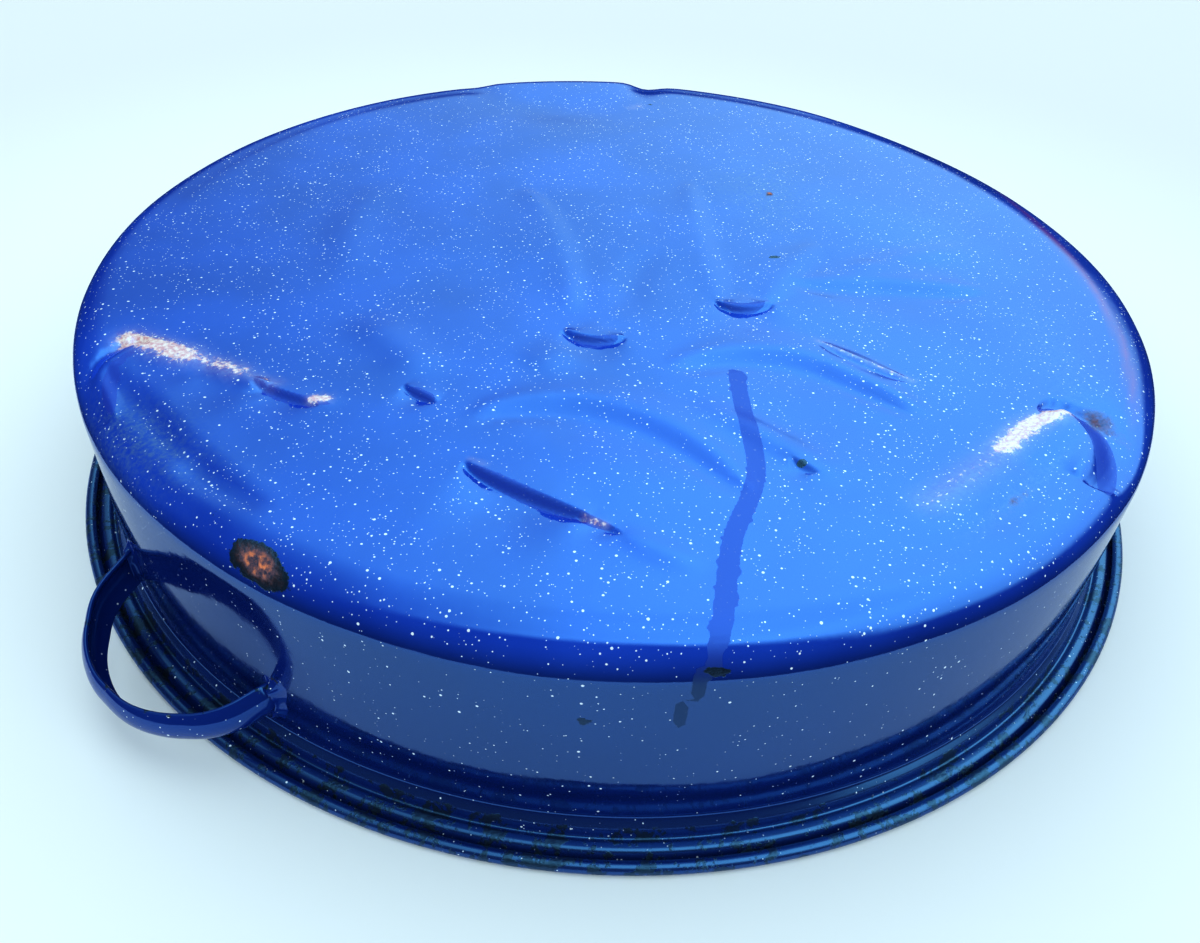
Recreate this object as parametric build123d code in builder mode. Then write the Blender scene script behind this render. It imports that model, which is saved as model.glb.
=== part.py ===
# Round enamelled-steel pan, standing upside down: its rolled rim is on the floor and its flat
# base faces up. A loop handle of dished strip is welded to the wall on each side.
#
# Millimetres. The origin is on the floor under the centre of the pan, +Z runs up through the
# base, and the handles stand out along -X and +X.
import os
from math import cos, radians, sin, sqrt, tan

from build123d import *

os.makedirs("parts", exist_ok=True)

# Driving dimensions: the pan
wall_radius = 215.0        # outside of the straight wall
pan_height = 88.0          # floor to the outside of the base
sheet = 1.0                # drawn steel with enamel on both sides
edge_radius = 14.0         # outside rounding where the wall meets the base

# Driving dimensions: the rim, as reaches out from the wall and heights above the floor
shoulder_reach = 2.6       # the shoulder where the wall first steps out
shoulder_top = 9.2
shoulder_bottom = 6.6
groove_reach = 3.6         # the groove outside the shoulder
groove_height = 2.0
seat_reach = 5.4           # the raised ring that a lid rests in, on the inside
seat_width = 2.8
seat_height = 4.0
flange_reach = 10.2        # where the ring falls to the flat flange
rim_reach = 15.0           # outermost point of the rolled bead
bead_radius = 2.2          # outside of the rolled bead
bead_turn = 255.0          # how far the edge is curled, in degrees

# Driving dimensions: the handles
handle_height = 23.0       # floor to the middle of the strip at the wall
handle_tilt = 13.0         # how far the loop leans towards the rim, in degrees
handle_span = 91.0         # outside width across the two arms at the wall
handle_reach = 33.0        # wall to the outermost point of the loop
arm_lean = 15.0            # how far each arm leans in as it leaves the wall, in degrees
arm_corner = 13.5          # wall to the corner where each arm turns in
tip_half_width = 16.5      # middle of the loop to the corner at each side of its tip
loop_bend = 40.0           # bend radius at every corner of the loop
strip_height = 15.0        # width of the strip, which stands on edge
strip_depth = 4.4          # depth of its dished section
strip_wall = 1.5           # thickness of the strip
weld_size = 3.2            # how far a weld spreads round the end of an arm

# Worked out from the dimensions above
rim_radius = wall_radius + rim_reach
bead_centre = rim_radius - bead_radius

# Corners of the outside of the sheet, from the centre of the base to the bead, and the
# bend radius at each corner between the two ends
outside_corners = [
    (0, pan_height),
    (wall_radius, pan_height),
    (wall_radius, shoulder_top),
    (wall_radius + shoulder_reach, shoulder_bottom),
    (wall_radius + groove_reach, groove_height),
    (wall_radius + seat_reach, seat_height),
    (wall_radius + seat_reach + seat_width, seat_height),
    (wall_radius + flange_reach, sheet),
    (bead_centre, sheet),
]
outside_bends = [edge_radius, 3.0, 3.0, 0.7, 1.8, 2.0, 1.5]


def inner_side(corners, bends, thickness):
    """The corners and bends of the same line moved to its right by the thickness."""
    points = [Vector(*corner) for corner in corners]
    runs = [(b - a).normalized() for a, b in zip(points, points[1:])]
    rights = [Vector(run.Y, -run.X) for run in runs]
    moved = [points[0] + rights[0] * thickness]
    moved_bends = []
    for index, bend in enumerate(bends):
        before, after = rights[index], rights[index + 1]
        mitre = (before + after) * (thickness / (1 + before.dot(after)))
        moved.append(points[index + 1] + mitre)
        turns_right = runs[index].cross(runs[index + 1]).Z < 0
        moved_bends.append(bend - thickness if turns_right else bend + thickness)
    moved.append(points[-1] + rights[-1] * thickness)
    return moved, moved_bends


inside_corners, inside_bends = inner_side(outside_corners, outside_bends, sheet)


# Pan shell: one sheet, from the centre of the base out to the curled edge
with BuildPart() as pan_shell:
    with BuildSketch(Plane.XZ) as shell_section:
        with BuildLine() as shell_outline:
            outside = FilletPolyline(*outside_corners, radius=outside_bends)
            inner_curl = CenterArc(
                (bead_centre, bead_radius), bead_radius - sheet, -90, bead_turn
            )
            outer_curl = CenterArc((bead_centre, bead_radius), bead_radius, -90, bead_turn)
            inside = FilletPolyline(*inside_corners, radius=inside_bends)
            Line(outside @ 0, inside @ 0)
            Line(inner_curl @ 1, outer_curl @ 1)
        make_face()
    revolve(axis=Axis.Z)
pan_shell.part.label = "pan_shell"
export_step(pan_shell.part, "parts/pan_shell.step")


# Handle loop: its plane leans down as it leaves the wall, and its arms start inside the wall
# line, where they are trimmed to the wall
tilt = radians(handle_tilt)
lean = radians(arm_lean)
handle_plane = Plane(
    origin=(-wall_radius, 0, handle_height),
    x_dir=(-cos(tilt), 0, -sin(tilt)),
    z_dir=(-sin(tilt), 0, cos(tilt)),
)
root_offset = (handle_span - strip_depth) / 2
loop_reach = handle_reach - strip_depth / 2
wall_sag = wall_radius - sqrt(wall_radius**2 - root_offset**2)
arm_start = -wall_sag - 5.0


def arm_point(along, side):
    """A point on the middle of an arm, at a distance out from the pan, in the loop's plane."""
    return along, side * (root_offset - (along + wall_sag) * tan(lean))


# Left handle: a dished strip bent to a loop, its hollow side facing the pan
with BuildPart() as left_handle:
    with BuildLine(handle_plane) as loop_path:
        FilletPolyline(
            arm_point(arm_start, -1),
            arm_point(arm_corner, -1),
            (loop_reach, -tip_half_width),
            (loop_reach, tip_half_width),
            arm_point(arm_corner, 1),
            arm_point(arm_start, 1),
            radius=loop_bend,
        )
    arm_direction = loop_path.line % 0
    arm_plane = Plane(
        origin=loop_path.line @ 0,
        x_dir=arm_direction.cross(handle_plane.z_dir),
        z_dir=arm_direction,
    )
    with BuildSketch(arm_plane) as strip_section:
        with BuildLine():
            back = ThreePointArc(
                (-strip_depth / 2, -strip_height / 2),
                (strip_depth / 2, 0),
                (-strip_depth / 2, strip_height / 2),
            )
            hollow = ThreePointArc(
                (-strip_depth / 2, -strip_height / 2 + strip_wall),
                (strip_depth / 2 - strip_wall, 0),
                (-strip_depth / 2, strip_height / 2 - strip_wall),
            )
            Line(back @ 0, hollow @ 0)
            Line(back @ 1, hollow @ 1)
        make_face()
    sweep(path=loop_path.line)
    Cylinder(wall_radius, 2 * pan_height, mode=Mode.SUBTRACT)
left_handle.part.label = "left_handle"
export_step(left_handle.part, "parts/left_handle.step")


# Left handle welds: a cone of filler round the end of each arm, flared onto the wall
weld_top = weld_size - wall_sag
with BuildPart() as left_handle_welds:
    for side in (-1, 1):
        inner_end = handle_plane.from_local_coords((*arm_point(arm_start, side), 0))
        outer_end = handle_plane.from_local_coords((*arm_point(weld_top, side), 0))
        arm_direction = Vector(*outer_end) - Vector(*inner_end)
        for centre, spread in ((inner_end, weld_size), (outer_end, 0.4)):
            weld_plane = Plane(
                origin=centre,
                x_dir=arm_direction.cross(handle_plane.z_dir),
                z_dir=arm_direction,
            )
            with BuildSketch(weld_plane):
                Ellipse(strip_depth / 2 + spread, strip_height / 2 + spread)
        loft()
    Cylinder(wall_radius, 2 * pan_height, mode=Mode.SUBTRACT)
    add(left_handle.part, mode=Mode.SUBTRACT)
left_handle_welds.part.label = "left_handle_welds"
export_step(left_handle_welds.part, "parts/left_handle_welds.step")


# Right handle and its welds: the same pieces on the other side of the pan
with BuildPart() as right_handle:
    mirror(left_handle.part, about=Plane.YZ)
right_handle.part.label = "right_handle"
export_step(right_handle.part, "parts/right_handle.step")

with BuildPart() as right_handle_welds:
    mirror(left_handle_welds.part, about=Plane.YZ)
right_handle_welds.part.label = "right_handle_welds"
export_step(right_handle_welds.part, "parts/right_handle_welds.step")
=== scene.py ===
from math import ceil, cos, pi, radians, sin, sqrt, tan

import bmesh
import bpy
import numpy as np
from mathutils import Matrix, Vector


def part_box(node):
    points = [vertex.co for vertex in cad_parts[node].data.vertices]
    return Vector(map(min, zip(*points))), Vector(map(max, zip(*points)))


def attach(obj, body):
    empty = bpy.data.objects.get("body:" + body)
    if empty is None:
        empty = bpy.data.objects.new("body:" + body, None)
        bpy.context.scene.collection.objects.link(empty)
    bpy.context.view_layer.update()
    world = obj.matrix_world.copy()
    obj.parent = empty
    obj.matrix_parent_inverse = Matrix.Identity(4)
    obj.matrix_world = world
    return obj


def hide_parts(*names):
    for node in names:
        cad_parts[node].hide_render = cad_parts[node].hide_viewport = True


# An enamelled pan that stands upside down on its rolled rim: a dented shell with its wear,
# and on each side a loop handle of dished strip with its two welds

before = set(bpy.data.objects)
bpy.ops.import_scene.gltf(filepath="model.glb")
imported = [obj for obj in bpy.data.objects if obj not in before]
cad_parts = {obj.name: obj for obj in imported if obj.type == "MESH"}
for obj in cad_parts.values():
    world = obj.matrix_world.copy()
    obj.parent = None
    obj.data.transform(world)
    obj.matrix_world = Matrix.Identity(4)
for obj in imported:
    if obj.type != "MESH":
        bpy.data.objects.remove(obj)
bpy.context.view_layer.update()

# Sizes, in millimetres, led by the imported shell
MM = 0.001
shell_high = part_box("pan_shell")[1]
HEIGHT = shell_high.z / MM                # floor to the outside of the base
RIM_RADIUS = shell_high.x / MM            # outermost point of the rolled bead
RIM_REACH = 15.0
WALL_RADIUS = RIM_RADIUS - RIM_REACH      # outside of the straight wall
SHEET = 1.0
EDGE_RADIUS = 14.0                        # rounding where the wall meets the base
BEAD_RADIUS = 2.2
BEAD_TURN = 255.0                         # how far the edge is curled, in degrees
BEAD_CENTRE = RIM_RADIUS - BEAD_RADIUS
FLAT_RADIUS = WALL_RADIUS - EDGE_RADIUS   # the flat of the base ends here
SEGMENTS = 352                            # round the pan; halved four times towards its centre
PROFILE_STEP = 3.2                        # longest run between points of the sheet's outline

# Outside of the sheet from the centre of the base to the bead, as radius and height,
# and the bend radius at each corner between the two ends
OUTSIDE_CORNERS = [
    (0, HEIGHT),
    (WALL_RADIUS, HEIGHT),
    (WALL_RADIUS, 9.2),
    (WALL_RADIUS + 2.6, 6.6),
    (WALL_RADIUS + 3.6, 2.0),
    (WALL_RADIUS + 5.4, 4.0),
    (WALL_RADIUS + 8.2, 4.0),
    (WALL_RADIUS + 10.2, SHEET),
    (BEAD_CENTRE, SHEET),
]
OUTSIDE_BENDS = [EDGE_RADIUS, 3.0, 3.0, 0.7, 1.8, 2.0, 1.5]

# The side of the pan that faces the camera, turned from -Y towards -X; the dents and the
# marks on the base are placed from it: u to the right and v away from that side
FRONT_TURN = radians(-50.6)
RIGHT = Vector((cos(FRONT_TURN), sin(FRONT_TURN), 0))
AWAY = Vector((-sin(FRONT_TURN), cos(FRONT_TURN), 0))

# Camera
CAMERA_ELEVATION = radians(37.2)
CAMERA_DISTANCE = 2.2271 * WALL_RADIUS * MM
CAMERA_ROLL = 0.0665
FOCAL = 1000 / 1200                       # focal length over the frame's width
OFFSET_X, OFFSET_Y = 6.6 / 1200, -54.4 / 1200
SENSOR = 36


# --- Shape helpers ---------------------------------------------------------------------


def smooth(t):
    """0 below 0, 1 above 1 and an even rise between them."""
    t = np.clip(t, 0, 1)
    return t * t * (3 - 2 * t)


def inner_side(corners, bends, thickness):
    """The corners and bends of the same line moved to its right by the thickness."""
    points = [Vector(corner) for corner in corners]
    runs = [(b - a).normalized() for a, b in zip(points, points[1:])]
    rights = [Vector((run.y, -run.x)) for run in runs]
    moved = [points[0] + rights[0] * thickness]
    moved_bends = []
    for index, bend in enumerate(bends):
        before, after = rights[index], rights[index + 1]
        mitre = (before + after) * (thickness / (1 + before.dot(after)))
        moved.append(points[index + 1] + mitre)
        turns_right = runs[index].cross(runs[index + 1]) < 0
        moved_bends.append(bend - thickness if turns_right else bend + thickness)
    moved.append(points[-1] + rights[-1] * thickness)
    return moved, moved_bends


def rounded_line(corners, bends, run_step, arc_step):
    """Points along a line of straight runs joined by tangent arcs. Arcs are cut every
    arc_step degrees and runs every run_step."""
    points = [Vector(corner) for corner in corners]
    line = [points[0]]
    for index, bend in enumerate(bends):
        before, corner, after = points[index : index + 3]
        back, on = (before - corner).normalized(), (after - corner).normalized()
        half = back.angle(on) / 2
        start = corner + back * (bend / tan(half))
        centre = corner + (back + on).normalized() * (bend / sin(half))
        add_run(line, start, run_step)
        turn = pi - 2 * half
        side = 1 if on.cross(back) > 0 else -1
        count = max(2, ceil(turn / radians(arc_step)))
        for step in range(1, count + 1):
            line.append(centre + Matrix.Rotation(side * turn * step / count, 2) @ (start - centre))
    add_run(line, points[-1], run_step)
    return line


def add_run(line, end, step):
    """Adds points up to the end, no more than a step apart."""
    start = line[-1]
    count = max(1, ceil((end - start).length / step))
    for index in range(1, count + 1):
        line.append(start.lerp(end, index / count))


def arc(centre, radius, start, turn, count):
    """Points on an arc, with its angles in degrees."""
    angles = [radians(start + turn * index / count) for index in range(count + 1)]
    return [Vector((centre[0] + radius * cos(a), centre[1] + radius * sin(a))) for a in angles]


def plan(co):
    """u and v of points given in metres, in millimetres."""
    x, y = co[:, 0] / MM, co[:, 1] / MM
    return x * RIGHT.x + y * RIGHT.y, x * AWAY.x + y * AWAY.y


def spot(u, v, centre, size, turn=0.0):
    """A soft oval hill, 1 at its centre. Size is its half length and half width, and the
    length is turned from u towards v, in degrees."""
    du, dv = u - centre[0], v - centre[1]
    c, s = cos(radians(turn)), sin(radians(turn))
    along, across = du * c + dv * s, dv * c - du * s
    return np.exp(-((along / size[0]) ** 2) - (across / size[1]) ** 2)


def beside(u, v, line):
    """For each point, how far it is from the softened line, positive on the line's right,
    and how far along the line it lies, from 0 to 1."""
    points = soften(line)
    runs = np.diff(points, axis=0)
    lengths = np.hypot(*runs.T)
    travelled = np.concatenate(([0], np.cumsum(lengths)))
    nearest = np.full(u.shape, 1e9)
    offset = np.zeros(u.shape)
    fraction = np.zeros(u.shape)
    for start, run, length, done in zip(points, runs, lengths, travelled):
        du, dv = u - start[0], v - start[1]
        share = np.clip((du * run[0] + dv * run[1]) / length**2, 0, 1)
        distance = np.hypot(du - share * run[0], dv - share * run[1])
        side = np.where(du * run[1] - dv * run[0] > 0, 1, -1)
        closer = distance < nearest
        nearest = np.where(closer, distance, nearest)
        offset = np.where(closer, side * distance, offset)
        fraction = np.where(closer, (done + share * length) / travelled[-1], fraction)
    return offset, fraction


def soften(line):
    """The line with its corners cut twice, so that it bends evenly."""
    points = np.array(line, float)
    for _ in range(2):
        starts, ends = points[:-1], points[1:]
        cuts = np.stack([0.75 * starts + 0.25 * ends, 0.25 * starts + 0.75 * ends], 1)
        points = np.vstack([points[:1], cuts.reshape(-1, 2), points[-1:]])
    return points


def taper(fraction, share=0.25):
    """1 along the middle of a line, falling to 0 at its ends."""
    return smooth(np.minimum(fraction, 1 - fraction) / share)


# --- Dents in the base -----------------------------------------------------------------

# Places on the base are given as (u, v), in millimetres

# A crease rises to its line from the left, falls on the right and recovers: line, width
# and rise of its left side, width and drop of its right side, width of the recovery
CREASES = [
    ([(-176, -87), (-158, -93), (-139, -100)], 7, 1.4, 13, 0.5, 14),
    ([(-141, -99), (-128, -105), (-115, -111)], 6, 1.1, 8, 0.6, 12),
    ([(-162, -93), (-172, -96), (-173, -109), (-166, -119), (-160, -131)], 8, 0.5, 8.5, 3.4, 8),
    ([(-122, -108), (-109, -114), (-96, -119)], 9, 0.9, 1.8, 1.4, 9),
    ([(-71, -105), (-58, -113)], 7, 0.9, 1.7, 1.3, 6),
    ([(-20, -63), (-13, -67), (-4, -68), (4, -65)], 12, 1.1, 1.8, 1.5, 12),
    ([(38, -35), (45, -39), (54, -38), (61, -33)], 12, 1.1, 1.8, 1.5, 12),
    ([(-45, -143), (-34, -150), (-20, -157), (-3, -165)], 13, 0.9, 2.4, 2.4, 18),
    ([(-8, -163), (0, -167), (6, -171)], 3, 0.3, 1.2, 1.2, 7),
    ([(76, -60), (90, -71), (107, -82)], 4, 0.5, 3, 0.6, 8),
    ([(59, -131), (67, -137)], 3, 0.2, 2.0, 1.0, 6),
    ([(128, -122), (142, -109), (160, -93)], 5, 1.9, 15, 0.2, 12),
    ([(96, -154), (114, -137), (133, -118)], 7, 1.3, 16, 0.4, 12),
    ([(150, -130), (158, -119), (160, -107), (156, -99), (147, -97)], 14, 1.7, 11, 3.4, 14),
    ([(-174, -100), (-150, -118), (-132, -137), (-112, -155), (-96, -168)],
     12, 0.5, 9, 2.6, 24),
    ([(-48, -120), (-34, -108), (-10, -103), (16, -112), (36, -130), (46, -150)],
     14, 1.4, 12, 1.4, 14),
    ([(18, -84), (32, -72), (50, -66), (72, -68), (94, -84), (108, -102)], 14, 1.4, 11, 1.4, 12),
    ([(-17, -52), (-23, -8), (-32, 24), (-46, 58)], 26, 1.1, 9, 0.2, 20),
    ([(41, -38), (33, 14), (30, 76)], 20, 1.0, 9, 0.3, 18),
    ([(58, -34), (68, -8), (84, 20)], 18, 1.0, 9, 0.3, 18),
    ([(70, -14), (90, -10), (118, -8), (150, -12)], 16, 1.0, 12, 1.2, 16),
]

# The dark stripe down the base and on to the front wall
DARK_STRIPE_LINE = [(44, -84), (45, -110), (48, -135), (45, -150), (41, -160), (37, -173), (33, -208),
            (29, -225), (26, -241)]

# A fold is a soft ridge, or a valley where its height is negative: line, half width, height
FOLDS = [
    ([(12, 10), (6, -20), (2, -54)], 7, -0.7),
    ([(90, -5), (120, 10), (158, 28)], 7, 0.8),
    ([(25, -102), (45, -115), (65, -131), (78, -143)], 6, 1.6),
    ([(112, -161), (135, -140), (153, -119)], 5, -1.4),
    ([(2, -169), (14, -176), (30, -183)], 4, 1.1),
    ([(-148, -160), (-126, -150)], 6, 0.9),
    ([(-98, -60), (-70, -90), (-62, -106)], 9, 1.4),
    ([(-30, -92), (-14, -72)], 8, 1.0),
    ([(-110, 60), (-118, 20), (-112, -20), (-100, -44)], 9, 0.7),
]

# A dent is a wide rise, or a hollow where its height is negative: centre, size, turn, height
DENTS = [
    ((0, -142), (32, 22), -12, 1.0),
    ((80, -108), (30, 16), -30, -0.9),
    ((125, 60), (45, 40), 30, 0.6),
    ((-95, -117), (4, 3), 0, 0.6),
    ((103, 1), (5, 4), 0, 0.6),
    ((105, -168), (26, 12), 25, -0.9),
    ((-120, 40), (60, 50), 20, -0.6),
    ((-10, 20), (140, 120), 0, -0.8),
    ((-40, 160), (38, 24), 0, -1.7),
    ((-82, 178), (9, 14), 0, -0.7),
    ((-60, -30), (40, 26), 15, -0.8),
]

KNOCKED_CORNER = (8, 204)
STRAIGHT_FALL = 5.0    # a crease whose right side is narrower than this falls evenly
FINE_FALL = 8.0        # faces are finer by a crease whose right side is narrower than this
FINE_DROP = 3.0        # or whose drop is deeper than this


def dent_height(u, v):
    """How far the base is pushed up at u and v, in millimetres."""
    height = np.zeros(u.shape)
    for line, rise_width, rise, fall_width, drop, recovery in CREASES:
        offset, fraction = beside(u, v, line)
        # the section shrinks to a twentieth at the two ends, so its slopes stay the same
        swell = np.sqrt(np.maximum(1 - np.abs(2 * fraction - 1) ** 3, 0.05**2))
        offset = offset / swell
        climb = rise * np.clip(1 + offset / rise_width, 0, 1)
        share = np.clip(offset / fall_width, 0, 1)
        share = share if fall_width < STRAIGHT_FALL else smooth(share)
        fall = rise - (rise + drop) * share
        past = np.maximum(offset - fall_width, 0) / recovery
        # both sides narrow away from the line, so that their ends are soft too
        apart = np.where(offset < 0, -1.5 * offset / rise_width, 3 * past)
        narrow = 1 - (1 - taper(fraction, 0.45)) * smooth(apart)
        profile = np.where(offset < 0, climb, fall * np.exp(-(past**2))) * narrow
        height += profile * swell * taper(fraction, 0.06)
    for line, width, rise in FOLDS:
        offset, fraction = beside(u, v, line)
        height += rise * np.exp(-((offset / width) ** 2)) * taper(fraction, 0.35)
    for centre, size, turn, rise in DENTS:
        height += rise * spot(u, v, centre, size, turn)
    return height


def crease_distance(u, v):
    """How far a point is from the nearest sharp crease or from the dark stripe."""
    nearest = np.abs(beside(u, v, DARK_STRIPE_LINE)[0]) - 1
    for line, rise_width, rise, fall_width, drop, recovery in CREASES:
        if fall_width < FINE_FALL or drop > FINE_DROP:
            middle = beside(u, v, line)[0] - fall_width / 2
            nearest = np.minimum(nearest, np.abs(middle) - fall_width / 2)
    return nearest


def bend_shell(co):
    """The dented place of each point of the shell, given in metres."""
    u, v = plan(co)
    radius = np.hypot(u, v)
    z = co[:, 2] / MM
    near_base = smooth((z - (HEIGHT - EDGE_RADIUS)) / EDGE_RADIUS)
    lift = dent_height(u, v) * near_base
    # the far edge slopes off, except where it stays flat left of a knocked corner
    flat = smooth((u + 90) / 14) * smooth((8 - u) / 14)
    slope = smooth((radius - FLAT_RADIUS + 11) / 11) * smooth((v + 40) / 120)
    lift -= 1.1 * slope * (1 - flat) * near_base
    # so does the right edge
    lift -= 1.5 * smooth((radius - FLAT_RADIUS + 5) / 9) * smooth((u - 90) / 70) * near_base
    lift -= 2.2 * spot(u, v, KNOCKED_CORNER, (9, 19)) * near_base
    # long shallow waves left by drawing and use
    angle = np.arctan2(v, u)
    wave = 0.16 * np.sin(7 * angle + 0.6) + 0.10 * np.sin(17 * angle + z / 14)
    wave *= smooth((radius - FLAT_RADIUS) / EDGE_RADIUS) * smooth((z - 14) / 20)
    moved = co.copy()
    scale = 1 + wave / np.maximum(radius, 1)
    moved[:, 0] *= scale
    moved[:, 1] *= scale
    moved[:, 2] += lift * MM
    return moved


# --- Pan shell -------------------------------------------------------------------------


def ring_count(radius):
    """Points round a ring: fewer near the centre, so that faces stay even."""
    count = SEGMENTS
    limit = WALL_RADIUS / 2
    while radius < limit and count > SEGMENTS // 16:
        count //= 2
        limit /= 2
    return count


def shell_profile():
    """The closed outline of the sheet, from the middle of the base's outside round the bead
    to the middle of its inside, as radius and height."""
    inside_corners, inside_bends = inner_side(OUTSIDE_CORNERS, OUTSIDE_BENDS, SHEET)
    outside = rounded_line(OUTSIDE_CORNERS, OUTSIDE_BENDS, PROFILE_STEP, 11)
    inside = rounded_line(inside_corners, inside_bends, PROFILE_STEP, 18)
    bead = (BEAD_CENTRE, BEAD_RADIUS)
    curl_inside = arc(bead, BEAD_RADIUS - SHEET, -90, BEAD_TURN, 8)
    curl_outside = arc(bead, BEAD_RADIUS, -90 + BEAD_TURN, -BEAD_TURN, 16)
    return outside + curl_inside[1:] + curl_outside + inside[::-1][1:]


def join_rings(mesh, first, second):
    """Faces between two rings, where one may have twice as many points as the other."""
    a, b = len(first), len(second)
    if a == b:
        for i in range(a):
            j = (i + 1) % a
            mesh.faces.new((first[i], second[i], second[j], first[j]))
        return
    few, many = (first, second) if a < b else (second, first)
    flip = a > b
    for i in range(len(few)):
        j = (i + 1) % len(few)
        start, middle, end = many[2 * i], many[2 * i + 1], many[(2 * i + 2) % len(many)]
        for corners in ((few[i], start, middle), (few[i], middle, few[j]), (few[j], middle, end)):
            mesh.faces.new(corners[::-1] if flip else corners)


def shell_mesh():
    """The undented shell, turned round its axis, with finer faces near the creases."""
    mesh = bmesh.new()
    rings = []
    for point in shell_profile():
        # the outline starts and ends on the axis, where a ring is one point
        if point.x < 1e-6:
            rings.append([mesh.verts.new((0, 0, point.y * MM))])
            continue
        count = ring_count(point.x)
        angles = [2 * pi * i / count for i in range(count)]
        radius, z = point.x * MM, point.y * MM
        rings.append([mesh.verts.new((radius * cos(a), radius * sin(a), z)) for a in angles])
    for first, second in zip(rings, rings[1:]):
        if len(first) == 1 or len(second) == 1:
            centre, ring = (first[0], second) if len(first) == 1 else (second[0], first)
            for i in range(len(ring)):
                corners = (centre, ring[i], ring[(i + 1) % len(ring)])
                mesh.faces.new(corners if len(first) == 1 else corners[::-1])
        else:
            join_rings(mesh, first, second)
    for reach in (4.5, 2.0):
        refine(mesh, reach)
    wide = [face for face in mesh.faces if len(face.verts) > 4]
    bmesh.ops.triangulate(mesh, faces=wide)
    return mesh


def refine(mesh, reach):
    """Halves the edges of the base that lie within reach of a crease or the dark stripe."""
    mesh.verts.index_update()
    co = np.array([vert.co for vert in mesh.verts])
    near = (crease_distance(*plan(co)) < reach) & (co[:, 2] > (HEIGHT - 4) * MM)
    edges = [e for e in mesh.edges if near[e.verts[0].index] and near[e.verts[1].index]]
    bmesh.ops.subdivide_edges(mesh, edges=edges, cuts=1, use_grid_fill=True)


def new_piece(name, mesh, material):
    """A smooth-shaded object from a bmesh."""
    data = bpy.data.meshes.new(name)
    bmesh.ops.recalc_face_normals(mesh, faces=mesh.faces)
    mesh.to_mesh(data)
    mesh.free()
    data.polygons.foreach_set("use_smooth", [True] * len(data.polygons))
    piece = bpy.data.objects.new(name, data)
    bpy.context.scene.collection.objects.link(piece)
    data.materials.append(material)
    return piece


def vertex_array(data):
    """The places of a mesh's points, one in each row."""
    co = np.empty(len(data.vertices) * 3)
    data.vertices.foreach_get("co", co)
    return co.reshape(-1, 3)


def set_field(data, name, values):
    """Stores one number for each point, for the material to read."""
    attribute = data.attributes.new(name, "FLOAT", "POINT")
    attribute.data.foreach_set("value", values.astype(np.float32))


def add_shell(material):
    """The dented pan. Its wear and painted light are placed before the dents move the points."""
    piece = new_piece("pan_shell_dented", shell_mesh(), material)
    co = vertex_array(piece.data)
    for name, values in wear_and_painted_light_fields(co).items():
        set_field(piece.data, name, values)
    piece.data.vertices.foreach_set("co", bend_shell(co).ravel())
    piece.data.update()
    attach(piece, "root")
    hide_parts("pan_shell")


# --- Handles and their welds -------------------------------------------------------------

HANDLE_HEIGHT = 23.0          # floor to the middle of the strip at the wall
HANDLE_TILT = radians(13)     # how far the loop droops to the rim
HANDLE_SPAN = 91.0            # outside width at the wall
HANDLE_REACH = 33.0           # wall to the outermost point, along the droop
ARM_LEAN = radians(15)        # how far each arm leans to the middle of the loop
ARM_CORNER = 13.5             # where the arms turn, out from the wall
TIP_HALF_WIDTH = 16.5
LOOP_BEND = 40.0
STRIP_HEIGHT = 15.0
STRIP_DEPTH = 4.4             # over the dish
STRIP_WALL = 1.5
DISH_STEPS = 14               # across the strip
WELD_SIZE = 3.2
WELD_COUNT = 72               # points round a weld
WELD_STEPS = 8                # from its foot to the strip

ROOT_OFFSET = (HANDLE_SPAN - STRIP_DEPTH) / 2
WALL_SAG = WALL_RADIUS - sqrt(WALL_RADIUS**2 - ROOT_OFFSET**2)
FREE_FROM = 2.5 - WALL_SAG    # nearer to the wall, the loop is one run up to its cut end
OUTWARD = Vector((-cos(HANDLE_TILT), 0, -sin(HANDLE_TILT)))
UPWARD = Vector((-sin(HANDLE_TILT), 0, cos(HANDLE_TILT)))
SIDEWAYS = UPWARD.cross(OUTWARD)


def arm_point(along, side):
    """A place on one arm's middle line, by its distance from the wall."""
    return Vector((along, side * (ROOT_OFFSET - (along + WALL_SAG) * tan(ARM_LEAN))))


def loop_line():
    """The middle line of the loop, from wall to wall in its own plane."""
    reach = HANDLE_REACH - STRIP_DEPTH / 2
    corners = [arm_point(-WALL_SAG, -1), arm_point(ARM_CORNER, -1), (reach, -TIP_HALF_WIDTH),
               (reach, TIP_HALF_WIDTH), arm_point(ARM_CORNER, 1), arm_point(-WALL_SAG, 1)]
    bends = []
    for index in range(1, 5):
        # the largest bend that fits between the middles of the two runs beside it
        before, corner, after = (Vector(c) for c in corners[index - 1 : index + 2])
        half = (before - corner).angle(after - corner) / 2
        room = 0.499 * min((before - corner).length, (after - corner).length)
        bends.append(min(LOOP_BEND, room * tan(half)))
    return rounded_line(corners, bends, 1.3, 2.0)


def strip_section():
    """The outline of the dished strip, as distance out of the loop and height."""
    half_height = (STRIP_HEIGHT - STRIP_WALL) / 2
    dish = STRIP_DEPTH - STRIP_WALL
    middle = []
    for index in range(DISH_STEPS + 1):
        share = 2 * index / DISH_STEPS - 1
        middle.append(Vector((dish / 2 - dish * share**2, half_height * share)))
    runs = [(b - a).normalized() for a, b in zip(middle, middle[1:])]
    runs = [runs[0]] + runs
    out = [Vector((run.y, -run.x)) * (STRIP_WALL / 2) for run in runs]
    outside = [point + step for point, step in zip(middle, out)]
    inside = [point - step for point, step in zip(middle, out)]
    # rolled lips: half circles round the two edges of the sheet
    top = [middle[-1] + Matrix.Rotation(pi * k / 6, 2) @ out[-1] for k in range(1, 6)]
    bottom = [middle[0] + Matrix.Rotation(pi * k / 6, 2) @ -out[0] for k in range(1, 6)]
    return outside + top + inside[::-1] + bottom


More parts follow.
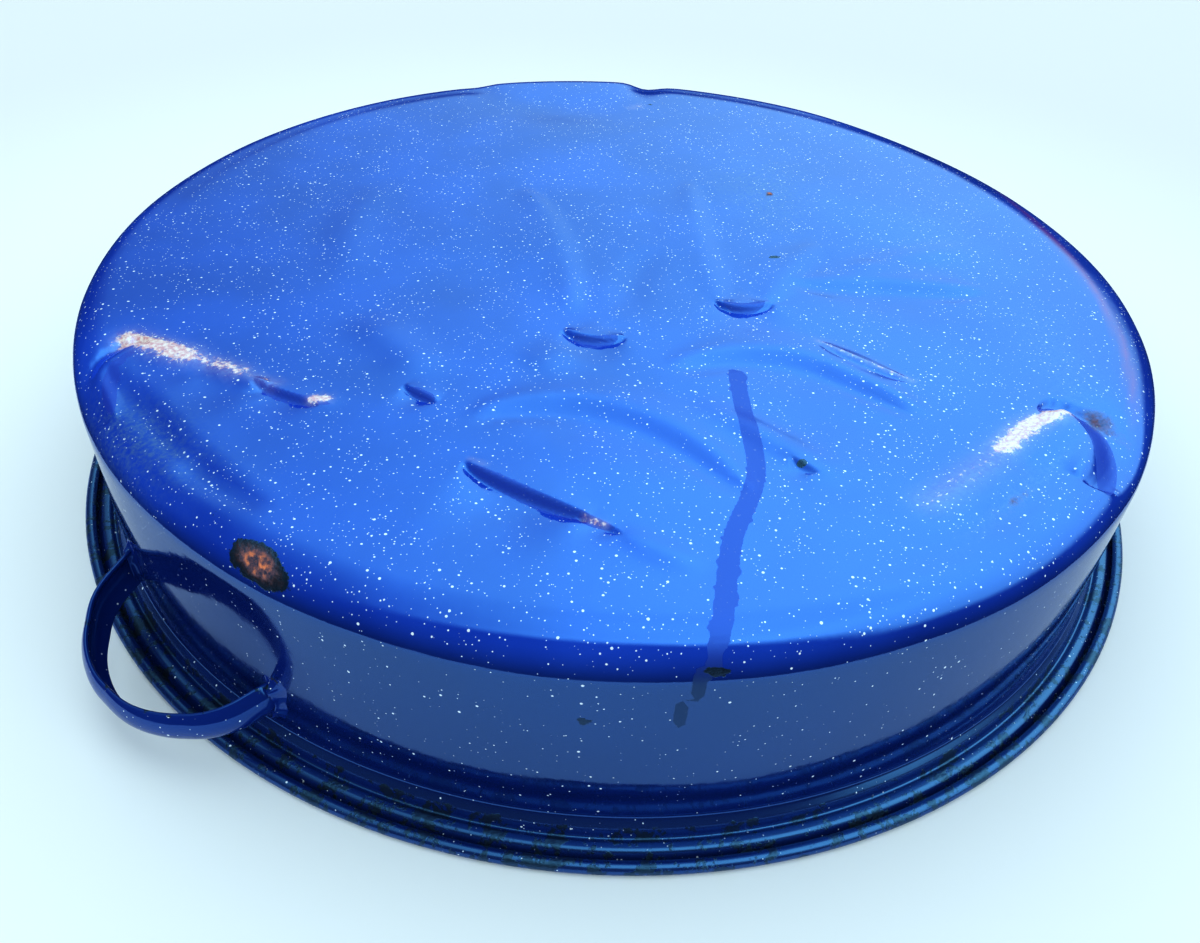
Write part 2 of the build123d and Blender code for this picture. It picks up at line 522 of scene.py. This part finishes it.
def in_row_frame(flat, height):
    """A place in the loop's plane, raised by a height along the strip."""
    root = Vector((-WALL_RADIUS, 0, HANDLE_HEIGHT))
    return root + OUTWARD * flat.x + SIDEWAYS * flat.y + UPWARD * height


def to_wall(point, along, radius):
    """How far to go along a line from the point to meet the wall's cylinder."""
    a = along.x**2 + along.y**2
    b = point.x * along.x + point.y * along.y
    c = point.x**2 + point.y**2 - radius**2
    return (-b + sqrt(b * b - a * c)) / a


def loop_mesh():
    """The handle, its arms cut to the wall, with its section coming and going a little."""
    mesh = bmesh.new()
    line = loop_line()
    section = strip_section()
    travelled = 0.0
    rings = []
    for index, place in enumerate(line):
        before, after = line[max(index - 1, 0)], line[min(index + 1, len(line) - 1)]
        run = (after - before).normalized()
        out = Vector((run.y, -run.x))
        travelled += (place - before).length
        swing = 0.16 * sin(travelled / 7.0) + 0.10 * sin(travelled / 2.9 + 1.0)
        ring = []
        for corner in section:
            flat = place + out * (corner.x + 0.4 * swing)
            ring.append(in_row_frame(flat, corner.y * (1 + 0.012 * swing)))
        if index in (0, len(line) - 1):
            # the cut end lies half a millimetre inside the wall's outer face
            along = OUTWARD * run.x + SIDEWAYS * run.y
            outward = along if index == 0 else -along
            ring = [p + outward * to_wall(p, outward, WALL_RADIUS - 0.5) for p in ring]
        elif place.x < FREE_FROM:
            continue
        rings.append([mesh.verts.new(point * MM) for point in ring])
    for first, second in zip(rings, rings[1:]):
        for i in range(len(section)):
            j = (i + 1) % len(section)
            mesh.faces.new((first[i], second[i], second[j], first[j]))
    mesh.faces.new(rings[0])
    mesh.faces.new(rings[-1])
    return mesh


def weld_mesh():
    """Filler round the end of each arm, flared onto the wall and uneven as a weld is."""
    mesh = bmesh.new()
    for side in (-1, 1):
        root = arm_point(-WALL_SAG, side)
        run = (arm_point(ARM_CORNER, side) - root).normalized()
        out = Vector((run.y, -run.x))
        along = OUTWARD * run.x + SIDEWAYS * run.y
        rings = []
        for step in range(WELD_STEPS + 1):
            # from the foot on the wall up the hollow of the fillet to the strip
            turn = step / WELD_STEPS * pi / 2
            ring = []
            for index in range(WELD_COUNT):
                angle = 2 * pi * index / WELD_COUNT
                lump = 1 + 0.13 * sin(3 * angle + side) + 0.09 * sin(7 * angle + 2 * side)
                lump += 0.05 * sin(13 * angle + 1)
                spread = WELD_SIZE * lump * (1 - sin(turn))
                rise = WELD_SIZE * lump * (1 - cos(turn)) - 0.3
                # a rounded oblong a little inside the strip's own outline
                c, s = cos(angle), sin(angle)
                across = (STRIP_DEPTH / 2 - 0.1 + spread) * abs(c) ** 0.7 * (1 if c > 0 else -1)
                height = (STRIP_HEIGHT / 2 - 0.2 + spread) * abs(s) ** 0.7 * (1 if s > 0 else -1)
                foot = in_row_frame(root + out * across, height)
                foot += along * to_wall(foot, along, WALL_RADIUS)
                ring.append(foot + along * rise)
            rings.append([mesh.verts.new(point * MM) for point in ring])
        for first, second in zip(rings, rings[1:]):
            for i in range(WELD_COUNT):
                j = (i + 1) % WELD_COUNT
                mesh.faces.new((first[i], second[i], second[j], first[j]))
        mesh.faces.new(rings[0])
        mesh.faces.new(rings[-1])
    return mesh


def add_handle(name, mesh, material, replaced, rusty):
    """One handle piece and its mirror image on the other side of the pan. The edges of the
    strip are worn, and its ends are dark and rusty as far as rusty says, from 0 to 1."""
    bmesh.ops.triangulate(mesh, faces=[face for face in mesh.faces if len(face.verts) > 4])
    left = new_piece("left_" + name, mesh, material)
    co = vertex_array(left.data)
    reach = np.hypot(co[:, 0], co[:, 1]) / MM - WALL_RADIUS
    z = co[:, 2] / MM
    middle = HANDLE_HEIGHT - reach * sin(HANDLE_TILT)
    lip = smooth((np.abs(z - middle) - STRIP_HEIGHT / 2 + 1.6) / 1.2)
    set_field(left.data, "edges", 0.8 * lip)
    # painted shade: the handle is darkened much as the wall is
    set_field(left.data, "wall_shade", np.full(len(co), 0.8))
    set_field(left.data, "crowd", np.full(len(co), 0.5))
    set_field(left.data, "dark", 0.55 * smooth((5 - reach) / 5) * rusty)
    set_field(left.data, "rust", 0.75 * smooth((6 - reach) / 6) * rusty)
    right = bpy.data.objects.new("right_" + name, left.data.copy())
    bpy.context.scene.collection.objects.link(right)
    mirrored = vertex_array(right.data) * (-1, 1, 1)
    right.data.vertices.foreach_set("co", mirrored.ravel())
    right.data.flip_normals()
    right.data.update()
    for piece, node in ((left, "left_" + replaced), (right, "right_" + replaced)):
        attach(piece, "root")
        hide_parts(node)


# --- Wear, painted highlights, reflections and shade on the shell, as soft fields that the enamel breaks up with noise ---

# A spot is centre, size, turn and strength, as in spot(). Beyond the flat of the base,
# places are measured along the sheet as if it were rolled out.
RUST_SPOTS = [
    ((-97, -189.5), (11, 5.6), -32, 1.3),
    ((67, 67), (3.2, 2.6), 0, 1.5),
    ((66, 60), (1.2, 4.0), 0, 0.6),
    ((171, -98), (19, 8), -52, 0.82),
    ((130, -142), (24, 4.2), 42, 0.74),
]
DARK_SPOTS = [
    ((-97, -190), (14, 7.4), -32, 1.25),
    ((-112, -173), (5, 3), 30, 0.7),
    ((-78, -187), (2.4, 1.6), 0, 0.9),
    ((-84, -39), (2.0, 1.4), 0, 0.95),
    ((-181, -10), (3, 2), 0, 0.7),
    ((-42, 47), (2.0, 1.4), 0, 1.0),
    ((65, 4), (2.6, 2.2), 0, 1.2),
    ((62, -134), (2.4, 2.0), 0, 1.05),
    ((-82, 171), (8, 9), 0, 0.66),
    ((34, -216), (6, 2.6), 0, 1.0),
    ((17, -216), (5, 2.0), 0, 0.75),
    ((10, 172), (3, 2), 0, 0.8),
    ((-2, -240), (4.5, 2.4), 0, 1.1),
    ((-150, -140), (14, 8), -35, 0.55),
]
# Painted highlights along the ridge crests and at crease ends, laid on like enamel rubbed down to a
# light ground coat: line, half width, strength
PAINTED_HIGHLIGHT_LINES = [
    ([(-173, -88), (-163, -91), (-148, -97)], 5.0, 1.25),
    ([(-150, -96), (-138, -100), (-128, -104)], 4.0, 0.85),
    ([(-128, -104), (-114, -110)], 3.0, 0.5),
    ([(-99, -117), (-95, -116)], 2.0, 1.4),
    ([(130, -119), (138, -109), (148, -101), (156, -97)], 4.2, 1.3),
    ([(100, -148), (114, -135), (128, -121)], 6.0, 0.42),
    ([(-6, -165), (1, -168)], 1.0, 0.8),
    ([(-43, -142), (-38, -145)], 1.0, 0.4),
    ([(0, 166), (5, 170)], 2.0, 0.55),
    ([(76, -60), (90, -71), (107, -82)], 1.3, 0.5),
]
# Painted shade: bands of deeper blue along the sharp creases and round the curl by the right bump:
# line, half width at its middle
CREASE_SHADE_LINES = [
    ([(-16, -67), (-8, -70.5), (1, -66)], 2.5),
    ([(41, -36), (49, -40), (58, -34.5)], 2.5),
    ([(-69, -107), (-59, -112.5)], 2.0),
    ([(-118, -112), (-109, -116), (-93, -119)], 2.1),
    ([(-43, -145), (-25, -156), (-12, -163), (4, -169.5)], 2.4),
    ([(-167, -95), (-171, -104), (-169, -115), (-162, -129)], 2.8),
    ([(154, -96), (161, -98), (166, -105), (166, -114), (164, -124), (161, -134)], 5.2),
]
# A painted reflection: a purple line along the right edge
VIOLET_REFLECTION_LINE = [(180, 110), (197, 30), (198, -30), (191, -70), (177, -112)]
# Grey scuffs and dirt, and one painted reflection: centre, size, turn and strength, as in spot()
SCUFFS_AND_REFLECTION = [
    ((131, -139), (30, 3.0), 46, 0.9),
    ((67, 70), (24, 40), 10, 0.75),
    ((140, 40), (22, 30), 30, 0.55),
    # painted reflection: the lighter grey facet below the left ridge
    ((-150, -140), (28, 13), -35, 1.1),
    ((165, -60), (14, 40), 0, 0.5),
    ((90, -71), (18, 3.5), -35, 0.9),
]


def unrolled_plan(u, v, z):
    """u and v with the rounded edge and the wall rolled out flat round the base."""
    radius = np.hypot(u, v)
    over = np.maximum(radius - FLAT_RADIUS, 0)
    turned = np.arctan2(over, np.maximum(z - HEIGHT + EDGE_RADIUS, 1e-6))
    unrolled = FLAT_RADIUS + EDGE_RADIUS * turned + np.maximum(HEIGHT - EDGE_RADIUS - z, 0)
    stretch = np.where(over > 0, unrolled / np.maximum(radius, 1), 1)
    return u * stretch, v * stretch


def on_outside(radius, z):
    """0 on the pan's inside, as far down as its wall goes, and 1 elsewhere."""
    half = SHEET / 2
    from_bend = np.hypot(np.maximum(radius - FLAT_RADIUS, 0),
                         np.maximum(z - HEIGHT + EDGE_RADIUS, 0))
    inner = (radius < WALL_RADIUS - half) & (z < HEIGHT - half) & (from_bend < EDGE_RADIUS - half)
    return np.where(inner, 0, 1)


def stripe_and_crease_shade_field(u, v):
    """The dark stripe, thinner at its end, and the painted shade bands along the creases."""
    offset, fraction = beside(u, v, DARK_STRIPE_LINE)
    half = 3.0 - 1.2 * smooth((fraction - 0.7) / 0.3)
    blue = smooth((half + 1.2 - np.abs(offset)) / 2.4)
    for line, width in CREASE_SHADE_LINES:
        offset, fraction = beside(u, v, line)
        half = width * np.sqrt(np.maximum(1 - np.abs(2 * fraction - 1) ** 2.5, 0))
        blue = np.maximum(blue, smooth((half + 0.6 - np.abs(offset)) / 1.8))
    return blue


def wear_and_painted_light_fields(co):
    """Soft fields over the undented shell: rust, dark chips, scuffs and a painted reflection, a
    painted purple reflection, painted highlights, the dark stripe and painted crease shade, the
    worn edges, where the enamel is dull, and the painted shade of the wall."""
    u, v = plan(co)
    z = co[:, 2] / MM
    radius = np.hypot(u, v)
    u, v = unrolled_plan(u, v, z)
    outside = on_outside(radius, z)
    shown = smooth((z - (HEIGHT - 3.5 * EDGE_RADIUS)) / 4) * outside
    fields = {}
    for name, spots in (("rust", RUST_SPOTS), ("dark", DARK_SPOTS), ("scuff_and_reflection", SCUFFS_AND_REFLECTION)):
        field = np.zeros(u.shape)
        for centre, size, turn, strength in spots:
            field = np.maximum(field, strength * spot(u, v, centre, size, turn))
        fields[name] = field * shown
    # painted reflection along the right edge
    offset, fraction = beside(u, v, VIOLET_REFLECTION_LINE)
    fields["violet_reflection"] = np.exp(-((offset / 2.0) ** 2)) * taper(fraction) * shown
    # painted highlights
    painted_highlight = np.zeros(u.shape)
    for line, width, strength in PAINTED_HIGHLIGHT_LINES:
        offset, fraction = beside(u, v, line)
        painted_highlight = np.maximum(painted_highlight, strength * np.exp(-((offset / width) ** 2)))
    fields["painted_highlight"] = painted_highlight * shown
    # the dark stripe, and painted shade along the creases
    fields["stripe_and_crease_shade"] = stripe_and_crease_shade_field(u, v) * shown
    # the rim's bead, shoulder and groove, and the rounded edge of the base
    bead = np.exp(-(((radius - RIM_RADIUS) / 2.0) ** 2)) * smooth((z - 0.5) / 1.0)
    shoulder = np.exp(-(((radius - WALL_RADIUS - 2.2) / 1.2) ** 2)) * smooth((12 - z) / 4)
    groove = np.exp(-(((radius - WALL_RADIUS - 3.8) / 0.9) ** 2)) * smooth((5 - z) / 2)
    edge = spot(radius, z, (WALL_RADIUS - 4, HEIGHT - 4), (6, 6)) * 0.45
    rim = 0.97 * smooth((radius - WALL_RADIUS - 1) / 1.5)
    fields["edges"] = np.maximum.reduce([bead, 0.75 * shoulder, groove, edge, rim]) * outside
    fields["dull"] = smooth((radius - WALL_RADIUS + 0.2) / 1.5)
    fields["crowd"] = 0.28 + 0.72 * smooth((z - HEIGHT + EDGE_RADIUS) / EDGE_RADIUS)
    # painted shade: the wall, the rim and the lower part of the rounded edge are darker, as they
    # get less light than the base
    fields["wall_shade"] = 1 - smooth((z - HEIGHT + 1.1 * EDGE_RADIUS) / (0.9 * EDGE_RADIUS))
    return fields


# --- Materials -------------------------------------------------------------------------


class Graph:
    """Adds nodes to a node tree. An input is a number, a colour or another node's output."""

    def __init__(self, tree):
        self.tree = tree
        tree.nodes.clear()

    def node(self, kind, inputs=None, output=0, **settings):
        """Adds a node and returns one of its outputs."""
        made = self.tree.nodes.new(kind)
        for name, value in settings.items():
            setattr(made, name, value)
        for name, value in (inputs or {}).items():
            self.feed(made.inputs[name], value)
        return made.outputs[output]

    def feed(self, socket, value):
        """Links or sets an input."""
        if isinstance(value, bpy.types.NodeSocket):
            self.tree.links.new(value, socket)
        else:
            socket.default_value = value

    def math(self, operation, first, second=0.0, third=0.0):
        """A sum or the like of up to three numbers."""
        inputs = {0: first, 1: second, 2: third}
        return self.node("ShaderNodeMath", inputs, operation=operation)

    def ramp(self, value, low, high, start=0.0, end=1.0):
        """start below low, end above high, and an even rise between them."""
        inputs = {"Value": value, "From Min": low, "From Max": high, "To Min": start, "To Max": end}
        return self.node("ShaderNodeMapRange", inputs, interpolation_type="SMOOTHSTEP")

    def noise(self, place, size, detail=2.0, roughness=0.5):
        """Noise whose features are about size millimetres across."""
        inputs = {"Vector": place, "Scale": 1 / (size * MM), "Detail": detail,
                  "Roughness": roughness}
        return self.node("ShaderNodeTexNoise", inputs)

    def field(self, name):
        """A number that set_field stored, 0 on a piece that has none."""
        return self.node("ShaderNodeAttribute", output="Fac", attribute_name=name)

    def mix(self, factor, first, second):
        """A mix of two colours, which are sockets 6 and 7 of the node."""
        inputs = {0: factor, 6: first, 7: second}
        return self.node("ShaderNodeMix", inputs, 2, data_type="RGBA")

    def dot(self, vector, direction):
        """How far the vector points along the direction, from -1 to 1."""
        inputs = {0: vector, 1: direction}
        return self.node("ShaderNodeVectorMath", inputs, "Value", operation="DOT_PRODUCT")

    def speckles(self, place, cell, size, share):
        """Small round spots of uneven radius, up to size: one in each cell, of which a share
        is kept. Cell and size are in millimetres."""
        inputs = {"Vector": place, "Scale": 1 / (cell * MM)}
        cells = self.node("ShaderNodeTexVoronoi", inputs).node.outputs
        parts = self.node("ShaderNodeSeparateColor", {"Color": cells["Color"]}).node.outputs
        radius = self.math("MULTIPLY_ADD", parts[1], 0.65 * size, 0.35 * size)
        distance = self.math("MULTIPLY", cells["Distance"], cell)
        gap = self.math("SUBTRACT", radius, distance)
        shown = self.math("LESS_THAN", parts[0], share)
        return self.math("MULTIPLY", self.ramp(gap, -0.06, 0.12), shown)


DEEP_BLUE = (0.010, 0.054, 0.43, 1)
BRIGHT_BLUE = (0.017, 0.082, 0.55, 1)
# painted shade: the darker blue of the wall, rim and handles
WALL_SHADE_NAVY = (0.002, 0.009, 0.066, 1)
SPECKLE_WHITE = (0.92, 0.98, 1.0, 1)
RUST_LIGHT = (0.80, 0.22, 0.0, 1)
RUST_MIDDLE = (0.19, 0.05, 0.008, 1)
RUST_DARK = (0.030, 0.012, 0.005, 1)
BARE_BLACK = (0.006, 0.006, 0.008, 1)
# grey of the scuffs and of the painted reflection
SCUFF_AND_REFLECTION_GREY = (0.10, 0.18, 0.36, 1)
# colour of the painted reflection along the right edge
REFLECTED_VIOLET = (0.20, 0.05, 0.34, 1)
# painted highlight colours, pink and pink-white
HIGHLIGHT_PINK = (0.72, 0.40, 0.42, 1)
HIGHLIGHT_WHITE = (0.92, 0.80, 0.74, 1)
# colour of the dark stripe and of the painted crease shade
STRIPE_AND_SHADE_BLUE = (0.002, 0.014, 0.40, 1)
MIRROR_BLUE = (0.22, 0.51, 1.0, 1)    # tint of the gloss, seen square on
EDGE_WEAR = 0.5


def enamel(name, speckle_share=0.7, specular=1.0):
    """Cobalt enamel with white speckles, an uneven gloss, worn places, and painted highlights,
    reflections and shade.
    """
    material = bpy.data.materials.new(name)
    material.use_nodes = True
    g = Graph(material.node_tree)
    place = g.node("ShaderNodeTexCoord", output="Object")
    fine = g.noise(place, 1.6, 4, 0.65)
    coarse = g.noise(place, 7, 4, 0.6)
    white = white_speckles(g, place, speckle_share)
    # scuffs and the painted reflection, broken up with fine noise
    smear_and_reflection = g.math("MULTIPLY", g.ramp(fine, 0.35, 0.75), g.field("scuff_and_reflection"))
    # the dark stripe and the painted crease shade, with ragged edges from noise
    stripe_and_shade_mask = g.math("SUBTRACT", g.field("stripe_and_crease_shade"), 0.11)
    stripe_and_shade_mask = g.ramp(g.math("MULTIPLY_ADD", coarse, 0.22, stripe_and_shade_mask), 0.46, 0.54)
    chipped, rusted = bare_places(g, fine, coarse)

    colour = speckled_blue(g, place, white)
    colour = marked_colour(g, place, colour, smear_and_reflection, stripe_and_shade_mask, fine, coarse)
    colour = bare_colour(g, place, colour, chipped, rusted)
    shader = g.node("ShaderNodeBsdfPrincipled", {
        "Base Color": colour,
        "Roughness": uneven_gloss(g, place, smear_and_reflection, stripe_and_shade_mask, chipped, rusted),
        "Normal": surface_relief(g, place, white, fine, g.math("MAXIMUM", chipped, rusted)),
        "IOR": 2.0, "Specular IOR Level": specular, "Specular Tint": MIRROR_BLUE})
    output = g.tree.nodes.new("ShaderNodeOutputMaterial")
    g.feed(output.inputs["Surface"], shader)
    return material


def white_speckles(g, place, share):
    """Large and small speckles that crowd together in some places, with uneven outlines."""
    wobble = g.node("ShaderNodeTexNoise", {"Vector": place, "Scale": 700.0}, "Color")
    shifted = g.node("ShaderNodeVectorMath", {0: wobble, 1: (0.0003, 0.0003, 0.0003)},
                     operation="MULTIPLY")
    warped = g.node("ShaderNodeVectorMath", {0: place, 1: shifted}, operation="ADD")
    crowd = g.ramp(g.noise(place, 22, 2), 0.3, 0.65, 0.4 * share, share)
    crowd = g.math("MULTIPLY", crowd, g.field("crowd"))
    large = g.speckles(warped, 2.4, 0.50, crowd)
    small = g.speckles(warped, 1.3, 0.29, crowd)
    return g.math("MAXIMUM", large, small)


def speckled_blue(g, place, white):
    """Cloudy cobalt on the base, darkened on the wall, rim and handles as painted shade, under the
    speckles.
    """
    colour = g.mix(g.ramp(g.noise(place, 60, 3), 0.3, 0.7), DEEP_BLUE, BRIGHT_BLUE)
    colour = g.mix(g.math("MULTIPLY", g.field("wall_shade"), 0.85), colour, WALL_SHADE_NAVY)
    return g.mix(g.math("MULTIPLY", white, 0.9), colour, SPECKLE_WHITE)


def marked_colour(g, place, colour, smear_and_reflection, stripe_and_shade_mask, fine, coarse):
    """The colour with its grey scuffs and painted reflection, a painted purple reflection, the dark
    stripe and painted crease shade, and painted highlights.
    """
    colour = g.mix(g.math("MULTIPLY", smear_and_reflection, 0.7), colour, SCUFF_AND_REFLECTION_GREY)
    # painted reflection along the right edge, uneven with noise
    violet_reflection_mask = g.math("MULTIPLY", g.field("violet_reflection"), g.ramp(coarse, 0.25, 0.6, 0.6, 1.0))
    colour = g.mix(violet_reflection_mask, colour, REFLECTED_VIOLET)
    # the dark stripe and painted crease shade use the painted wall shade's colour on the wall
    stripe_and_shade_colour = g.mix(g.field("wall_shade"), STRIPE_AND_SHADE_BLUE, WALL_SHADE_NAVY)
    colour = g.mix(g.math("MULTIPLY", stripe_and_shade_mask, 0.9), colour, stripe_and_shade_colour)
    # painted highlights: pink-white flecks on the ridge crests, with a soft light edge round them
    painted_highlight = g.field("painted_highlight")
    flecked = g.math("MULTIPLY_ADD", g.noise(place, 2.4, 5, 0.75), 2.2, painted_highlight)
    highlight_mask = g.math("MULTIPLY", g.ramp(flecked, 1.55, 2.0), g.ramp(painted_highlight, 0.12, 0.4))
    highlight_mask = g.math("MAXIMUM", highlight_mask, g.math("MULTIPLY", painted_highlight, 0.30))
    return g.mix(highlight_mask, colour, g.mix(g.ramp(fine, 0.38, 0.62), HIGHLIGHT_PINK, HIGHLIGHT_WHITE))


def bare_places(g, fine, coarse):
    """How far the enamel is chipped off, and how far what lies under it is rusted."""
    ragged = g.math("MULTIPLY_ADD", coarse, 0.9, g.math("MULTIPLY", fine, 0.35))
    chip_field = g.math("ADD", g.math("MULTIPLY", g.field("edges"), EDGE_WEAR), ragged)
    dark_field = g.math("MULTIPLY_ADD", ragged, 0.8, g.field("dark"))
    chipped = g.math("MAXIMUM", g.ramp(chip_field, 1.12, 1.17), g.ramp(dark_field, 1.12, 1.2))
    rust_field = g.math("MULTIPLY_ADD", ragged, 0.8, g.field("rust"))
    return chipped, g.ramp(rust_field, 1.0, 1.5)


def bare_colour(g, place, colour, chipped, rusted):
    """The colour with black chips and flaking rust, orange at the heart of a spot."""
    colour = g.mix(chipped, colour, BARE_BLACK)
    flakes = g.noise(place, 1.1, 5, 0.7)
    rust_colour = g.mix(g.ramp(flakes, 0.3, 0.62), RUST_DARK, RUST_MIDDLE)
    heart = g.ramp(g.field("rust"), 0.7, 1.2)
    bright = g.math("MULTIPLY", g.ramp(g.noise(place, 2.6, 4), 0.45, 0.62), heart)
    rust_colour = g.mix(bright, rust_colour, RUST_LIGHT)
    return g.mix(rusted, colour, rust_colour)


def uneven_gloss(g, place, smear_and_reflection, stripe_and_shade_mask, chipped, rusted):
    """The roughness: high gloss, less on marks and on the rim, and little on bare places."""
    roughness = g.ramp(g.noise(place, 30, 3), 0.3, 0.7, 0.05, 0.10)
    for part, level in ((chipped, 0.42), (rusted, 0.85), (smear_and_reflection, 0.25), (stripe_and_shade_mask, 0.48),
                        (g.field("dull"), 0.27)):
        roughness = g.math("MAXIMUM", roughness, g.math("MULTIPLY", part, level))
    return roughness


def surface_relief(g, place, white, fine, bare):
    """The normal: orange peel, speckles that stand out a little, and rough sunk chips."""
    peel = g.node("ShaderNodeBump", {"Height": g.noise(place, 9, 2), "Strength": 1.0,
                                     "Distance": 0.00006})
    depth = g.math("SUBTRACT", g.math("MULTIPLY", white, 0.15), bare)
    sunk = g.node("ShaderNodeBump", {"Height": depth, "Strength": 1.0,
                                     "Distance": 0.00018, "Normal": peel})
    grain = g.math("MULTIPLY", bare, fine)
    return g.node("ShaderNodeBump", {"Height": grain, "Strength": 1.0,
                                     "Distance": 0.0004, "Normal": sunk})


# --- Light, floor and camera -------------------------------------------------------------

SKY = (0.68, 0.97, 0.86, 1)
DOME = (1.18, 1.40, 1.46, 1)
FLOOR_NEAR = (0.80, 0.82, 0.84, 1)
FLOOR_FAR = (0.68, 0.68, 0.69, 1)
BACKDROP = (0.78, 0.93, 0.985, 1)
SHEET_REACH = 0.31    # metres
FLOOR_COUNT = 128


def add_world():
    """The studio, which differs by what looks at it: the camera sees a plain backdrop,
    mirrors see a sky that is bright on the far side and to the right, and dark behind the
    camera and low down, and all else is lit by an even dome."""
    world = bpy.data.worlds.new("studio")
    bpy.context.scene.world = world
    world.use_nodes = True
    g = Graph(world.node_tree)
    direction = g.node("ShaderNodeTexCoord", output="Generated")
    up = g.dot(direction, (0, 0, 1))
    away = g.dot(direction, tuple(AWAY))
    right = g.dot(direction, tuple(RIGHT))
    # up to about 45 degrees the mirrored sky gets brighter, and it dims a little overhead
    open_side = g.math("MULTIPLY", g.ramp(away, -0.68, -0.50), g.ramp(up, 0.06, 0.30))
    level = g.math("MULTIPLY", g.ramp(right, -0.85, 0.35, 0.15, 3.6),
                   g.math("MULTIPLY_ADD", up, 0.6, 0.40))
    level = g.math("MULTIPLY", level, g.ramp(up, 0.70, 0.96, 1.0, 0.78))
    strength = g.math("MULTIPLY_ADD", open_side, level, 0.04)
    mirrored = g.node("ShaderNodeBackground", {"Color": SKY, "Strength": strength})
    dome = g.node("ShaderNodeBackground", {"Color": DOME, "Strength": 1.0})
    plain = g.node("ShaderNodeBackground", {"Color": BACKDROP, "Strength": 1.0})
    rays = g.node("ShaderNodeLightPath").node.outputs
    lit = g.node("ShaderNodeMixShader", {0: rays["Is Glossy Ray"], 1: dome, 2: mirrored})
    mixed = g.node("ShaderNodeMixShader", {0: rays["Is Camera Ray"], 1: lit, 2: plain})
    output = g.tree.nodes.new("ShaderNodeOutputWorld")
    g.feed(output.inputs["Surface"], mixed)


def floor_material():
    """Plain matt paper, a little darker away from the pan."""
    material = bpy.data.materials.new("floor")
    material.use_nodes = True
    g = Graph(material.node_tree)
    place = g.node("ShaderNodeTexCoord", output="Object")
    reach = g.node("ShaderNodeVectorMath", {0: place}, "Value", operation="LENGTH")
    colour = g.mix(g.ramp(reach, 0.20, 0.62), FLOOR_NEAR, FLOOR_FAR)
    shader = g.node("ShaderNodeBsdfPrincipled", {"Base Color": colour, "Roughness": 0.9,
                                                 "Specular IOR Level": 0.1})
    output = g.tree.nodes.new("ShaderNodeOutputMaterial")
    g.feed(output.inputs["Surface"], shader)
    return material


def add_floor():
    """A round sheet under the pan, and round it a wide floor that the gloss doesn't mirror."""
    material = floor_material()
    angles = [2 * pi * index / FLOOR_COUNT for index in range(FLOOR_COUNT)]
    for name, inner, outer in (("floor_sheet", 0, SHEET_REACH), ("floor_wide", SHEET_REACH, 9.0)):
        mesh = bmesh.new()
        edge = [mesh.verts.new((outer * cos(a), outer * sin(a), 0)) for a in angles]
        if inner:
            hole = [mesh.verts.new((inner * cos(a), inner * sin(a), 0)) for a in angles]
            join_rings(mesh, hole, edge)
        else:
            middle = mesh.verts.new((0, 0, 0))
            for index in range(FLOOR_COUNT):
                mesh.faces.new((middle, edge[index], edge[(index + 1) % FLOOR_COUNT]))
        floor = new_piece(name, mesh, material)
        floor.visible_glossy = not inner


def add_camera():
    """The photo's camera, found by fitting it to the outlines of the rim and the base."""
    back = Vector((sin(FRONT_TURN) * cos(CAMERA_ELEVATION),
                   -cos(FRONT_TURN) * cos(CAMERA_ELEVATION), sin(CAMERA_ELEVATION)))
    up = back.cross(RIGHT)
    look = Matrix((RIGHT, up, back)).transposed()
    # the pan stands off the middle of the frame, so the camera turns a little
    off = Vector((OFFSET_X / FOCAL, -OFFSET_Y / FOCAL, -1)).normalized()
    turn = off.rotation_difference(Vector((0, 0, -1))).to_matrix()
    roll = Matrix.Rotation(CAMERA_ROLL, 3, "Z")
    camera = bpy.data.objects.new("camera", bpy.data.cameras.new("camera"))
    camera.data.sensor_width = SENSOR
    camera.data.lens = SENSOR * FOCAL
    camera.matrix_world = (look @ turn @ roll).to_4x4()
    camera.location = back * CAMERA_DISTANCE
    bpy.context.scene.collection.objects.link(camera)
    bpy.context.scene.camera = camera


add_camera()
add_shell(enamel("blue_enamel"))
handle_enamel = enamel("handle_enamel", speckle_share=0.45, specular=0.6)
weld_enamel = enamel("weld_enamel", speckle_share=0.3, specular=0.6)
add_handle("handle_loop", loop_mesh(), handle_enamel, "handle", 0.5)
add_handle("weld_filler", weld_mesh(), weld_enamel, "handle_welds", 0.6)

add_world()
add_floor()
bpy.context.scene.view_settings.view_transform = "Standard"
bpy.context.scene.view_settings.gamma = 0.75
